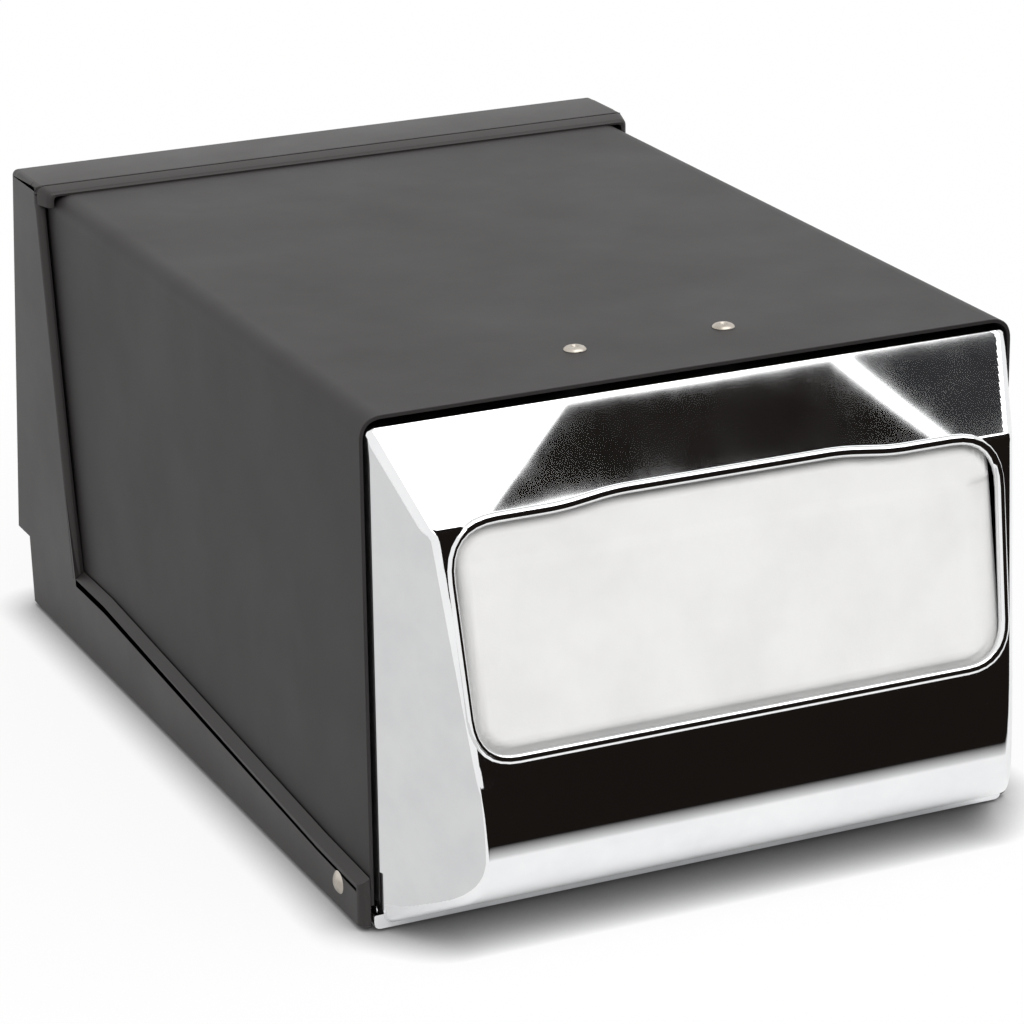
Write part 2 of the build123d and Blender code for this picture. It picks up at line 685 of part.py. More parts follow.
def anchor_screws():
    """Four screws that hold the anchor plate on the cap's posts."""
    screws = []
    for x in (-anchor_screw, anchor_screw):
        for z in (spring_z - anchor_screw, spring_z + anchor_screw):
            head = Pos(x, anchor_y, z) * Rot(90, 0, 0) * dome(screw_head_r, screw_head_h)
            screws.append(head + rod_y(x, z, screw_r, (anchor_y, anchor_y + 10)))
    return screws


def catch_blade():
    """Bent tab under the cover's top, which hangs between the clip's arms."""
    roof = cover_top_z - cover_sheet
    half = cover_sheet / 2
    leg = Polyline((0, roof - blade_drop), (0, roof - half), (blade_foot, roof - half))
    section = trace(leg, cover_sheet)
    blade = extrude(Plane.XZ * section, -(blade_y[1] - blade_y[0]))
    blade = Pos(0, blade_y[0], 0) * blade
    return blade


def latch_clip():
    """Spring-steel clip whose two arms grip the blade."""
    base_z = shelf_top_z + clip_sheet / 2
    waist = cover_sheet / 2 + clip_touch + clip_sheet / 2
    arm = 5.0
    path = Polyline((-waist - 2.5, clip_mouth_z), (-waist, clip_waist_z), (-arm, base_z + 3), (-arm, base_z),
                    (arm, base_z), (arm, base_z + 3), (waist, clip_waist_z), (waist + 2.5, clip_mouth_z))
    section = trace(path, clip_sheet)
    clip = Pos(0, blade_y[0], 0) * extrude(Plane.XZ * section, -(blade_y[1] - blade_y[0]))
    tongue = block((-arm, arm), (blade_y[1] - 1, clip_rear_y), (shelf_top_z, shelf_top_z + clip_sheet))
    tongue = fillet(tongue.edges().filter_by(Axis.Z).group_by(Axis.Y)[-1], 2)
    clip += tongue
    return clip - rod_z(0, clip_screw_y, screw_r + running_gap, (shelf_z, shelf_top_z + 2))


def latch_screw():
    """Screw that holds the clip on the cap's shelf."""
    head = Pos(0, clip_screw_y, shelf_top_z + clip_sheet) * dome(screw_head_r * 0.85, screw_head_h * 0.8)
    return head + rod_z(0, clip_screw_y, screw_r, (shelf_z - 4, shelf_top_z + clip_sheet))


def cap_screws():
    """Four screws up through the tray's bosses into the cap's."""
    screws = []
    for x in cap_screw_xs:
        for side in (-x, x):
            top = tray_lift + screw_sink
            head = Pos(side, cap_screw_y, top) * Rot(180, 0, 0) * dome(screw_head_r, screw_head_h)
            screws.append(head + rod_z(side, cap_screw_y, screw_r, (top, seam_z - 2)))
    return screws


def rubber_feet():
    """Four round feet sunk in the tray's underside."""
    feet = []
    for y in foot_ys:
        for x in (-foot_x, foot_x):
            disc = rod_z(x, y, foot_r, (0, tray_lift + foot_sunk))
            feet.append(fillet(disc.edges().group_by(Axis.Z)[0], 0.4))
    return feet


def solids_of(piece):
    """All the solids of a piece, which may be a list of pieces."""
    if isinstance(piece, (list, tuple)):
        return [solid for one in piece for solid in one.solids()]
    return list(piece.solids())


nodes = {
    "cover": cover(),
    "face_plate": face_plate(),
    "face_rivet_left": face_rivet(-tab_rivet_x),
    "face_rivet_right": face_rivet(tab_rivet_x),
    "pivot_bush_left": pivot_bush(-1),
    "pivot_bush_right": pivot_bush(1),
    "catch_blade": catch_blade(),
    "base_tray": tray(),
    "rear_cap": rear_cap(),
    "pivot_rivet_left": pivot_rivet(-1),
    "pivot_rivet_right": pivot_rivet(1),
    "floor_pan": floor_pan(),
    "pan_rivets": pan_rivets(),
    "cap_screws": cap_screws(),
    "rubber_feet": rubber_feet(),
    "spring_anchor": spring_anchor(),
    "anchor_screws": anchor_screws(),
    "latch_clip": latch_clip(),
    "latch_screw": latch_screw(),
    "napkin_stack": napkin_pack(0),
    "front_napkin": front_napkin(),
    "pusher_plate": pusher_plate(),
    "pusher_shoe": pusher_shoe(),
    "shoe_screws": shoe_screws(),
    "pusher_spring": pusher_spring(),
}

front = nodes["face_plate"].bounding_box().min.Y
rear = nodes["rear_cap"].bounding_box().max.Y
shift = -(front + rear) / 2
print("shift along Y", round(shift, 4))

os.makedirs("parts", exist_ok=True)
for name, piece in nodes.items():
    moved = Compound(children=[Pos(0, shift, 0) * solid for solid in solids_of(piece)])
    export_step(moved, f"parts/{name}.step")
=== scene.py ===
import json
import math
import bmesh
import bpy
import numpy as np
from mathutils import Matrix, Vector, noise


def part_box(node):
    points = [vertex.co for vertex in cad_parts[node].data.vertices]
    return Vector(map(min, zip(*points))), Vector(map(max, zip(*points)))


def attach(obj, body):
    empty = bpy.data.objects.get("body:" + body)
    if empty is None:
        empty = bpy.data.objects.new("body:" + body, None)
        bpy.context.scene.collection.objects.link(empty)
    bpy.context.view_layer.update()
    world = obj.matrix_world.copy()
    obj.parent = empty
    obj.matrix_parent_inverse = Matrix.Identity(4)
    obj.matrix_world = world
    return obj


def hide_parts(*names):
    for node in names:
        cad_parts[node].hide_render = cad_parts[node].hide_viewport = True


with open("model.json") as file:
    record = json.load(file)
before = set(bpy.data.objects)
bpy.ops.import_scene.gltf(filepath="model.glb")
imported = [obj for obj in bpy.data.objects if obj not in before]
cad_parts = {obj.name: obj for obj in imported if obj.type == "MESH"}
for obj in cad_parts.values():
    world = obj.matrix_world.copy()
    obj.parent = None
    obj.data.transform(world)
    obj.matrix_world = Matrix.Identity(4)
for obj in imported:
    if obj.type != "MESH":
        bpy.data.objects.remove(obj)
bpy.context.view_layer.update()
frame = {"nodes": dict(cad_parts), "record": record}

# Sizes are millimetres from the cover's front edge, as in the drawing of the part
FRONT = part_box("cover")[0].y

# Face plate: leaning front with a knee and a chin, and slanted facets above and beside it
LEAN = 0.191
LEAN_Y = -26.1
LEAN_Z = 80.0
STRETCH = math.hypot(1, LEAN)
FACE_HALF = 93.1
FACE_TOP_Z = 137.9
FACE_TOP_R = 2.0
FACE_LOW_Z = 0.95
FACE_LOW_R = 6.0
FACE_FLANGE_Y = 9.0
FACE_WALL = 2.2
FACET_START = -0.5
FACET_SLOPE = 0.43
RIDGE_SOFT = 5.4
CREST_Z = 114.4
CREST_R = 2.5
KNEE_Z = 41.0
KNEE_R = 150.0
CHIN_LEAN = 0.052
CHIN_SLOPE = 0.535
CHIN_R = 16.0
FACE_STEP = 1.1
MIDDLE_HALF = 75.0
MIDDLE_COLUMNS = 126
SIDE_START = 76.0
SIDE_COLUMNS = 28

# Mouth: the opening on the leaning front, with a rise in its top edge and a rolled rim
MOUTH_LOW_Z = 56.4
MOUTH_LOW_HALF = 76.4
MOUTH_LOW_R = 11.0
MOUTH_TOP_Z = 114.6
MOUTH_TOP_HALF = 79.0
MOUTH_TOP_R = 12.5
RISE = 1.9
RISE_OUTER_X = 48.0
RISE_INNER_X = 33.0
RISE_R = 70.0
BEAD_R = 1.5
BEAD_SINK = 1.1
BEAD_SIDES = 16
CUT_OUTSIDE = 1.4

# Fittings of the face plate: sill, tabs under the cover with their washers, and pivot ears
SILL_TOP_Z = 4.95
SILL_REAR_Y = 2.4
SILL_LOW_R = 3.2
SILL_TOP_R = 0.6
TAB_HALF = 10.0
TAB_FRONT_Y = 7.5
TAB_REAR_Y = 36.8
TAB_R = 5.0
WASHER_R = 6.5
EAR_FRONT_Y = 1.0
EAR_HALF = 6.9
EAR_R = 6.8
SQUARE_R = 0.1
TAB_CLEAR = 0.05
WASHER_SINK = 0.1
WASHER_CLEAR = 0.02
EAR_CLEAR = 0.1
PIVOT_Y = 13.7
PIVOT_Z = 8.7

# Cover and its rivets, each rivet as (radius, height over the cover)
COVER_HALF = 95.0
COVER_TOP_Z = 141.0
COVER_SHEET = 1.0
COVER_R = 6.5
COVER_SKIRT_Z = 7.0
COVER_REAR_Y = 240.4
EDGE_STATIONS = [0.15, 0.4]
EDGE_DROP = 0.12
EDGE_NARROWER = 0.9985
EDGE_WIDER = 1.0005
RIVET_X = 22.0
RIVET_Y = 26.8
RIVET_SIDES = 40
RIVET_PROFILE = [(0.0, 0.42), (0.8, 0.42), (0.98, 0.72), (1.2, 1.0), (1.5, 1.02), (2.0, 0.92), (2.6, 0.66),
                 (3.0, 0.32), (3.1, 0.1), (3.05, 0.0), (1.6, 0.0), (1.6, -6.0), (0.0, -6.0)]

# Rear cap and the ring before it, whose section is (y, share of its height)
BODY_HALF = 98.35
SEAM_Z = 23.2
SKIN = 0.07
CAP_HALF = BODY_HALF + SKIN
CAP_TOP_Z = 143.06
CAP_TOP_FROM_Z = 142.5
CAP_CORNER_R = 1.9
CAP_CORNER_STEPS = 5
CAP_EDGE_R = 2.0
CAP_FRONT_R = 0.6
CAP_REAR_TOP_Y = 264.06
CAP_REAR_LOW_Y = 278.06
WING_LOW_Y = 222.0
WING_TOP_Y = 240.0
WING_TOP_Z = 136.0
WING_BEND_Z = 137.4
WING_INNER = 95.95
WING_DEPTH = 8.0
BAR_LOW_Z = 140.2
BAR_REAR_Y = 246.2
BAR_HALF = 96.2
RING_REAR_Y = 240.4
RING_GAP = 0.35
RING_LOW_Z = 137.6
RING_TOP_Z = 143.0
RING_R = 3.0
RING_SINK = 0.05
RING_BEVEL = 0.35
RING_SECTION = [(234.2, 0.0), (234.25, 0.28), (234.7, 0.5), (235.6, 0.64), (RING_REAR_Y - RING_BEVEL, 0.98),
                (RING_REAR_Y, 0.9), (RING_REAR_Y, 0.0)]

# Rails: the outer edge of their sloping tops as (y, z), and where their sections stand
RAIL_TOP = [(-0.8, 13.2), (28, 14.0), (196, SEAM_Z), (221.7, SEAM_Z)]
RAIL_STATIONS = [-0.78, -0.6, -0.2, 0.4, 1.0, 1.6, 28, 80, 140, 196, 221.7]
RAIL_INNER = 95.45
RAIL_DEEP = 2.2
RAIL_RISE = 2.0
RAIL_TOE_R = 2.4

# Napkins: the leaf in the mouth, tucked in at (y, z) points, and the stack behind it
SHEET_THICK = 1.15
SHEET_DEPTH = 3.0
LEAF_TUCK = (-13.3, 18.4)
LEAF_LOW_BEND = (-20.93, 25.0)
LEAF_TOP = (-13.3, 116.0)
LEAF_BENDS_R = [0, 14, 40, 5, 0]
LEAF_WIDER = 1.1
LEAF_STEP = 1.25
LEAF_COLUMNS = 121
LEAF_SUNK = 0.45
LEAF_SUNK_LEAST = 0.4
LEAF_EDGE_RUN = 1.2
LEAF_EDGE_BACK = 0.5
CRUMPLES = [(0, 26, 0.16), (9, 7, 0.05)]
FOLD_X = 66.5
FOLD_RUN = 9.0
FOLD_DEEP = 2.2
FLAP_Z = 104.3
FLAP_SOFT = 0.7
FLAP_DEEP = 0.35
SWELL_START = 0.7
SWELL_RUN = 1.6
STACK_HALF = 77.0
STACK_TOP = 129.0
STACK_REAR = 150.0
STACK_HIGH = 110.0
STACK_LONG = 167.0
STACK_DEPTH = 4.2
STACK_SLOPE_RUN = 14.0
STACK_SHOULDER_Y = -2.0
FRONT_BEND_Z = 50.0
REST_Z = 8.2
STACK_TOE = [(3.0, REST_Z), (-3.0, 9.4), (-19.6, 25.0)]
TOE_RISE = 5.0
TOE_FALL = 60.0
LIFT = 0.15
DROP = 0.5
DROP_WANDER = 1.6
SIDE_GAP = 0.2
SIDE_WANDER = 1.6
FULLNESS = 0.985

# Rounded folds and ends of a stacked napkin: places from its edge, and its thickness there
FOLD_PLACES = [0.0, 0.5, 1.6]
FOLD_PINCH = [0.0, 0.5, 0.82]
FOLD_INSIDE = 6.0
FOLD_ROWS = 9
END_PLACES = [0.0, 0.7]
END_PINCH = [0.35, 0.8]
END_INSIDE = 4.0
END_COLUMNS = 5

# Photographer's camera, fitted to the photograph (metres, degrees, pixels)
IMAGE = 1024
FOCAL_PX = 4007.43
EYE = Vector((-0.457683, -0.877021 + FRONT, 0.458263))
AZIMUTH = 24.612
ELEVATION = 19.691
ROLL = -0.7447
CENTRE_PX = (-10.222, -11.862)
SENSOR_MM = 36.0

# Stage in metres, with the pixels between which the chromed top facet mirrors two dark cards
FLOOR_HALF = 6.0
# Painted contact shadow on the floor: reach and power of the ambient occlusion that darkens the floor's
# emission, and that emission's share of what the camera sees
PAINTED_SHADOW_REACH = 0.014
PAINTED_SHADOW_POWER = 1.6
PAINTED_FLOOR_SHARE = 0.88
WORLD_LIGHT = 0.55
SUN_STRENGTH = 1.6
SUN_WIDTH = 70.0
SUN_TILT = (28.0, 14.0)
MIDDLE_PIXELS = [(566, 404), (832, 360), (941, 446), (566, 497), (488, 516)]
RIGHT_PIXELS = [(850, 354), (1012, 328), (1012, 470), (953, 440)]
CEILING_Z = 1.6
BLACK = (0.010, 0.008, 0.007)
DARK_GREY = (0.032, 0.032, 0.034)
PALE_GREY = (0.72, 0.72, 0.72)
CARDS_RIGHT = 2.2
FRONT_CARD_Y = -0.33
FRONT_CARD_TOP_Y = -0.40
FRONT_CARD_TOP_Z = 0.56
FRONT_CARD_X = 0.052
FRONT_CARD_TOP_X = -0.12
FLOOR_CARD_X = -0.04
FLOOR_CARD_NEAR_X = -0.06
FLOOR_CARD_Y = -0.100
FLOOR_CARD_DEEP = 0.2
FLOOR_CARD_Z = 0.002
FLOOR_CARD_FADE = 0.028
LEFT_CARD_X = (-0.105, -0.105, -1.2, -1.2)
LEFT_CARD_Y = (-0.5, 0.6, 0.6, -0.5)
LEFT_CARD_Z = 0.0015


def at(x, y, z):
    """A point of the drawing, in millimetres, as a point of the frame."""
    return Vector((x / 1000, y / 1000 + FRONT, z / 1000))


def front_y(z):
    """How far forward the leaning front lies at a height."""
    return LEAN_Y + LEAN * (z - LEAN_Z)


# Camera
def camera_axes():
    """Right, up and backward directions of the camera."""
    az = math.radians(AZIMUTH)
    el = math.radians(ELEVATION)
    roll = math.radians(ROLL)
    back = Vector((-math.sin(az) * math.cos(el), -math.cos(az) * math.cos(el), math.sin(el)))
    right = Vector((0, 0, 1)).cross(back).normalized()
    up = back.cross(right)
    rolled_right = math.cos(roll) * right + math.sin(roll) * up
    rolled_up = -math.sin(roll) * right + math.cos(roll) * up
    return rolled_right, rolled_up, back


def make_camera():
    """Camera at the photograph's place, angle and framing."""
    data = bpy.data.cameras.new("camera")
    data.sensor_width = SENSOR_MM
    data.lens = FOCAL_PX / IMAGE * data.sensor_width
    data.shift_x = -CENTRE_PX[0] / IMAGE
    data.shift_y = CENTRE_PX[1] / IMAGE
    camera = bpy.data.objects.new("camera", data)
    bpy.context.scene.collection.objects.link(camera)
    turn = Matrix(camera_axes()).transposed().to_4x4()
    camera.matrix_world = Matrix.Translation(EYE) @ turn
    bpy.context.scene.camera = camera


# Materials
def shader(name):
    """A new material with its nodes, its shader and its links."""
    material = bpy.data.materials.new(name)
    material.use_nodes = True
    nodes = material.node_tree.nodes
    return material, nodes, nodes["Principled BSDF"], material.node_tree.links


def noise_node(nodes, links, scale, detail=3.0, rough=0.5, stretch=None):
    """Noise over the object's own coordinates, in metres."""
    coords = nodes.new("ShaderNodeTexCoord")
    vector = coords.outputs["Object"]
    if stretch:
        mapping = nodes.new("ShaderNodeMapping")
        mapping.inputs["Scale"].default_value = stretch
        links.new(vector, mapping.inputs["Vector"])
        vector = mapping.outputs["Vector"]
    texture = nodes.new("ShaderNodeTexNoise")
    texture.inputs["Scale"].default_value = scale
    texture.inputs["Detail"].default_value = detail
    texture.inputs["Roughness"].default_value = rough
    links.new(vector, texture.inputs["Vector"])
    return texture.outputs["Fac"]


def spread(nodes, links, value, low, high, start=0.3, stop=0.7):
    """A value remapped to a range."""
    node = nodes.new("ShaderNodeMapRange")
    node.inputs["From Min"].default_value = start
    node.inputs["From Max"].default_value = stop
    node.inputs["To Min"].default_value = low
    node.inputs["To Max"].default_value = high
    links.new(value, node.inputs["Value"])
    return node.outputs["Result"]


def two_tone(nodes, links, value, dark, light, start=0.35, stop=0.65):
    """A colour that wanders between two tones."""
    ramp = nodes.new("ShaderNodeValToRGB")
    ramp.color_ramp.elements[0].position = start
    ramp.color_ramp.elements[0].color = (*dark, 1)
    ramp.color_ramp.elements[1].position = stop
    ramp.color_ramp.elements[1].color = (*light, 1)
    links.new(value, ramp.inputs["Fac"])
    return ramp.outputs["Color"]


def bump(nodes, links, heights, target):
    """Bumps stacked on each other: (height, strength, distance) each."""
    last = None
    for height, strength, distance in heights:
        node = nodes.new("ShaderNodeBump")
        node.inputs["Strength"].default_value = strength
        node.inputs["Distance"].default_value = distance
        links.new(height, node.inputs["Height"])
        if last:
            links.new(last, node.inputs["Normal"])
        last = node.outputs["Normal"]
    links.new(last, target)


def surface(name, dark, light, rough, metal=0.0, tone_scale=40, grain=900, bumps=(0.2, 0.0002),
            stretch=None, level=0.5):
    """A material with two tones, uneven gloss and a fine grain."""
    material, nodes, body, links = shader(name)
    tone = noise_node(nodes, links, tone_scale, detail=4.0, rough=0.6, stretch=stretch)
    fine = noise_node(nodes, links, grain, detail=2.0, rough=0.5, stretch=stretch)
    links.new(two_tone(nodes, links, tone, dark, light), body.inputs["Base Color"])
    links.new(spread(nodes, links, tone, *rough), body.inputs["Roughness"])
    body.inputs["Metallic"].default_value = metal
    body.inputs["Specular IOR Level"].default_value = level
    bump(nodes, links, [(fine, *bumps)], body.inputs["Normal"])
    return material


def chrome():
    """Bright plating: slightly uneven, so that reflections waver and their edges soften."""
    material, nodes, body, links = shader("chrome_plate")
    body.inputs["Metallic"].default_value = 1.0
    waves = noise_node(nodes, links, scale=14, detail=1.0, rough=0.4)
    haze = noise_node(nodes, links, scale=60, detail=3.0, rough=0.6)
    tone = two_tone(nodes, links, haze, dark=(0.83, 0.835, 0.845), light=(0.88, 0.885, 0.89))
    links.new(tone, body.inputs["Base Color"])
    links.new(spread(nodes, links, haze, low=0.02, high=0.032), body.inputs["Roughness"])
    bump(nodes, links, [(waves, 0.06, 0.0006)], body.inputs["Normal"])
    return material


def paper():
    """Soft tissue: white, matte, with fibres and a fine crepe."""
    material, nodes, body, links = shader("napkin_paper")
    fibres = noise_node(nodes, links, scale=420, detail=4.0, rough=0.7, stretch=(1.0, 1.0, 0.35))
    crepe = noise_node(nodes, links, scale=1700, detail=2.0, rough=0.6, stretch=(0.35, 1.0, 1.0))
    cloud = noise_node(nodes, links, scale=45, detail=3.0, rough=0.55)
    tone = two_tone(nodes, links, cloud, dark=(0.77, 0.765, 0.755), light=(0.82, 0.815, 0.805))
    links.new(tone, body.inputs["Base Color"])
    links.new(spread(nodes, links, fibres, low=0.85, high=0.98), body.inputs["Roughness"])
    body.inputs["Specular IOR Level"].default_value = 0.15
    bump(nodes, links, [(crepe, 0.25, 0.00012), (fibres, 0.2, 0.0002)], body.inputs["Normal"])
    return material


def make_materials():
    """All the finishes, by the record's slot names."""
    return {
        "cover_paint": surface("cover_paint", (0.0225, 0.0200, 0.0198), (0.0245, 0.0220, 0.0216),
                               (0.46, 0.54), tone_scale=25, grain=2600, bumps=(0.35, 0.00012),
                               level=0.31),
        "black_moulding": surface("black_moulding", (0.0240, 0.0208, 0.0200), (0.0265, 0.0232, 0.0222),
                                  (0.38, 0.46), tone_scale=30, grain=1500, bumps=(0.15, 0.0001),
                                  level=0.38),
        "chrome_plate": chrome(),
        "rivet_steel": surface("rivet_steel", (0.42, 0.38, 0.33), (0.58, 0.54, 0.48), (0.25, 0.4),
                               metal=1.0, tone_scale=300, grain=1500, bumps=(0.2, 0.0001)),
        "zinc_steel": surface("zinc_steel", (0.46, 0.47, 0.49), (0.58, 0.59, 0.61), (0.3, 0.48),
                              metal=1.0, tone_scale=70, grain=900, bumps=(0.12, 0.0001),
                              stretch=(1.0, 0.12, 1.0)),
        "screw_steel": surface("screw_steel", (0.38, 0.38, 0.40), (0.52, 0.52, 0.54), (0.28, 0.42),
                               metal=1.0, tone_scale=240, grain=1400, bumps=(0.2, 0.0001)),
        "spring_steel": surface("spring_steel", (0.33, 0.33, 0.35), (0.47, 0.47, 0.49), (0.2, 0.34),
                                metal=1.0, tone_scale=160, grain=1200, bumps=(0.15, 0.0001)),
        "nylon": surface("nylon", (0.66, 0.65, 0.60), (0.73, 0.72, 0.67), (0.38, 0.5),
                         tone_scale=90, grain=1200, bumps=(0.1, 0.0001)),
        "rubber": surface("rubber", (0.018, 0.018, 0.018), (0.03, 0.03, 0.03), (0.75, 0.9),
                          tone_scale=200, grain=1800, bumps=(0.4, 0.0002), level=0.3),
        "napkin_paper": paper(),
    }


# Outlines and paths
def rounded(points, radii, steps=8, closed=True):
    """A polygon or path with its corners rounded."""
    points = [Vector(p) for p in points]
    made = []
    for n, point in enumerate(points):
        if not closed and n in (0, len(points) - 1):
            made.append(point)
            continue
        before = points[n - 1] - point
        after = points[(n + 1) % len(points)] - point
        turn = before.angle(after)
        run = min(radii[n] / math.tan(turn / 2), before.length * 0.49, after.length * 0.49)
        start = point + before.normalized() * run
        end = point + after.normalized() * run
        for k in range(steps + 1):
            t = k / steps
            made.append(start.lerp(point, t).lerp(point.lerp(end, t), t))
    return made


def resample(path, step):
    """Points at even steps along a path."""
    runs = [0.0]
    for a, b in zip(path[:-1], path[1:]):
        runs.append(runs[-1] + (b - a).length)
    count = max(2, round(runs[-1] / step))
    wanted = np.linspace(0, runs[-1], count + 1)
    return np.stack([np.interp(wanted, runs, [p[k] for p in path]) for k in (0, 1)], axis=1)


def smooth(value):
    """0 to 1 with soft ends."""
    t = np.clip(value, 0, 1)
    return t * t * (3 - 2 * t)


def mouth_outline():
    """The opening's outline on the leaning front."""
    low = (MOUTH_LOW_Z - LEAN_Z) * STRETCH
    top = (MOUTH_TOP_Z - LEAN_Z) * STRETCH
    high = top + RISE
    points = [(-MOUTH_LOW_HALF, low), (MOUTH_LOW_HALF, low), (MOUTH_TOP_HALF, top), (RISE_OUTER_X, top),
              (RISE_INNER_X, high), (-RISE_INNER_X, high), (-RISE_OUTER_X, top), (-MOUTH_TOP_HALF, top)]
    return rounded(points, [MOUTH_LOW_R] * 2 + [MOUTH_TOP_R] + [RISE_R] * 4 + [MOUTH_TOP_R])


def inside_distance(points, outline):
    """How far inside a closed outline each point lies, negative outside."""
    start = np.array([tuple(p) for p in outline])
    end = np.roll(start, -1, axis=0)
    run = end - start
    offset = points[:, None, :] - start[None]
    t = np.clip((offset * run).sum(2) / np.maximum((run * run).sum(1), 1e-9), 0, 1)
    nearest = np.sqrt(((offset - t[..., None] * run) ** 2).sum(2)).min(1)
    above = start[None, :, 1] > points[:, None, 1]
    crosses = above != (end[None, :, 1] > points[:, None, 1])
    slope = run[:, 0] / np.where(np.abs(run[:, 1]) < 1e-9, 1e-9, run[:, 1])
    hit = start[:, 0] + slope * (points[:, 1:2] - start[:, 1])
    inside = (crosses & (points[:, 0:1] < hit)).sum(1) % 2 == 1
    return np.where(inside, nearest, -nearest)


def inside_mouth(grid_x, grid_z):
    """How far inside the mouth each point of a grid lies, seen square to the leaning front."""
    flat = np.stack([grid_x.ravel(), (grid_z.ravel() - LEAN_Z) * STRETCH], axis=1)
    return inside_distance(flat, mouth_outline()).reshape(grid_x.shape)


# Meshes from points, strips and prisms
def make_piece(name, points, faces, body, material):
    """A piece from points of the drawing in millimetres, riding on a body."""
    mesh = bpy.data.meshes.new(name)
    mesh.from_pydata([at(*p) for p in points], [], faces)
    mesh.polygons.foreach_set("use_smooth", [True] * len(mesh.polygons))
    mesh.materials.append(material)
    mesh.update()
    piece = bpy.data.objects.new(name, mesh)
    bpy.context.scene.collection.objects.link(piece)
    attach(piece, body)
    return piece


def closed_grid(name, front, back, body, material):
    """A sheet with thickness, from grids of points on its front and its back."""
    rows, columns = front.shape[:2]
    points = np.concatenate([front.reshape(-1, 3), back.reshape(-1, 3)])
    faces = []
    shift = rows * columns
    for r in range(rows - 1):
        for c in range(columns - 1):
            a = r * columns + c
            quad = (a, a + 1, a + columns + 1, a + columns)
            faces.append(quad)
            faces.append(tuple(shift + i for i in reversed(quad)))
    rim = [(0, c) for c in range(columns)] + [(r, columns - 1) for r in range(1, rows)]
    rim += [(rows - 1, c) for c in range(columns - 2, -1, -1)] + [(r, 0) for r in range(rows - 2, 0, -1)]
    ring = [r * columns + c for r, c in rim]
    for a, b in zip(ring, ring[1:] + ring[:1]):
        faces.append((b, a, a + shift, b + shift))
    return make_piece(name, points, faces, body, material)


def from_above(a, b, c):
    """An outline seen from above, pushed upwards."""
    return (a, b, c)


def from_front(a, b, c):
    """An outline seen from the front, pushed backwards."""
    return (a, c, b)


def from_side(a, b, c):
    """An outline seen from the side, pushed to the right."""
    return (c, a, b)


def prism(outline, low, high, place):
    """A closed outline pushed from a low to a high value."""
    count = len(outline)
    points = [place(a, b, low) for a, b in outline] + [place(a, b, high) for a, b in outline]
    faces = [list(range(count)), list(range(2 * count - 1, count - 1, -1))]
    faces += [(n, n + count, (n + 1) % count + count, (n + 1) % count) for n in range(count)]
    return points, faces


def disc(x, y, radius, low, high, steps=24):
    """A short upright cylinder."""
    turns = [2 * math.pi * k / steps for k in range(steps)]
    outline = [(x + radius * math.cos(t), y + radius * math.sin(t)) for t in turns]
    return prism(outline, low, high, from_above)


def strip(rows, closed=False):
    """Faces between rows of points, each row as long as the next."""
    count = len(rows[0])
    points = [p for row in rows for p in row]
    faces = []
    for r in range(len(rows) - 1):
        for c in range(count if closed else count - 1):
            a, b = r * count + c, r * count + (c + 1) % count
            faces.append((a, b, b + count, a + count))
    return points, faces


def joined(forms):
    """Several forms as one list of points and faces."""
    points, faces = [], []
    for more_points, more_faces in forms:
        base = len(points)
        points += [tuple(p) for p in more_points]
        faces += [tuple(base + i for i in face) for face in more_faces]
    return points, faces


def add_form(name, forms, body, material, node=None, crease=35):
    """A piece made of forms, with its sharp edges kept and its faces turned outwards."""
    points, faces = joined(forms)
    piece = make_piece(name, points, faces, body, material)
    work = bmesh.new()
    work.from_mesh(piece.data)
    bmesh.ops.recalc_face_normals(work, faces=work.faces)
    work.to_mesh(piece.data)
    work.free()
    piece.data.set_sharp_from_angle(angle=math.radians(crease))
    if node:
        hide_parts(node)
    return piece


# Napkins
def crumpled(x, z):
    """Low wander of the soft front leaf, in millimetres: (layer, size, height) for each crumple."""
    return sum(noise.noise(Vector((x / size, layer / size, z / size))) * height
               for layer, size, height in CRUMPLES)


def front_leaf(material):
    """The front napkin: tucked in below, swelling into the opening, folded at its right."""
    high = STACK_HIGH + SHEET_THICK
    knots = [LEAF_TUCK, LEAF_LOW_BEND, (front_y(FRONT_BEND_Z) + SHEET_DEPTH, FRONT_BEND_Z),
             (front_y(high) + SHEET_DEPTH, high), LEAF_TOP]
    path = resample(rounded(knots, LEAF_BENDS_R, steps=10, closed=False), LEAF_STEP)
    half = STACK_HALF + LEAF_WIDER
    grid_x, grid_y = np.meshgrid(np.linspace(-half, half, LEAF_COLUMNS), path[:, 0])
    grid_z = np.repeat(path[:, 1][:, None], LEAF_COLUMNS, axis=1)
    below_flap = smooth((FLAP_Z - grid_z) / FLAP_SOFT)
    fold = smooth((grid_x - FOLD_X) / FOLD_RUN)
    sunk = LEAF_SUNK + FOLD_DEEP * fold * below_flap + FLAP_DEEP * (1 - below_flap)
    wander = np.array([crumpled(x, z) for x, z in zip(grid_x.ravel(), grid_z.ravel())])
    sunk = np.maximum(sunk + wander.reshape(grid_x.shape), LEAF_SUNK_LEAST) * STRETCH
    swell = smooth((inside_mouth(grid_x, grid_z) - SWELL_START) / SWELL_RUN)
    bulged_y = grid_y + (front_y(grid_z) + sunk - grid_y) * swell
    edge = smooth((half - np.abs(grid_x)) / LEAF_EDGE_RUN)
    front = np.stack([grid_x, bulged_y + LEAF_EDGE_BACK * (1 - edge), grid_z], axis=2)
    back = np.stack([grid_x, grid_y + SHEET_THICK, grid_z], axis=2)
    piece = closed_grid("front_leaf", front, back, "base", material)
    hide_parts("front_napkin")
    return piece


def stack_profile(share, z):
    """Depth of the stack at a height, from its leaning front (0) to its rear (1)."""
    lean = [(front_y(high) + STACK_DEPTH, high) for high in (FRONT_BEND_Z, STACK_HIGH)]
    depths, heights = zip(*STACK_TOE, *lean, (STACK_SHOULDER_Y, STACK_TOP))
    front = np.interp(z, heights, depths)
    return front + (STACK_REAR - front) * share


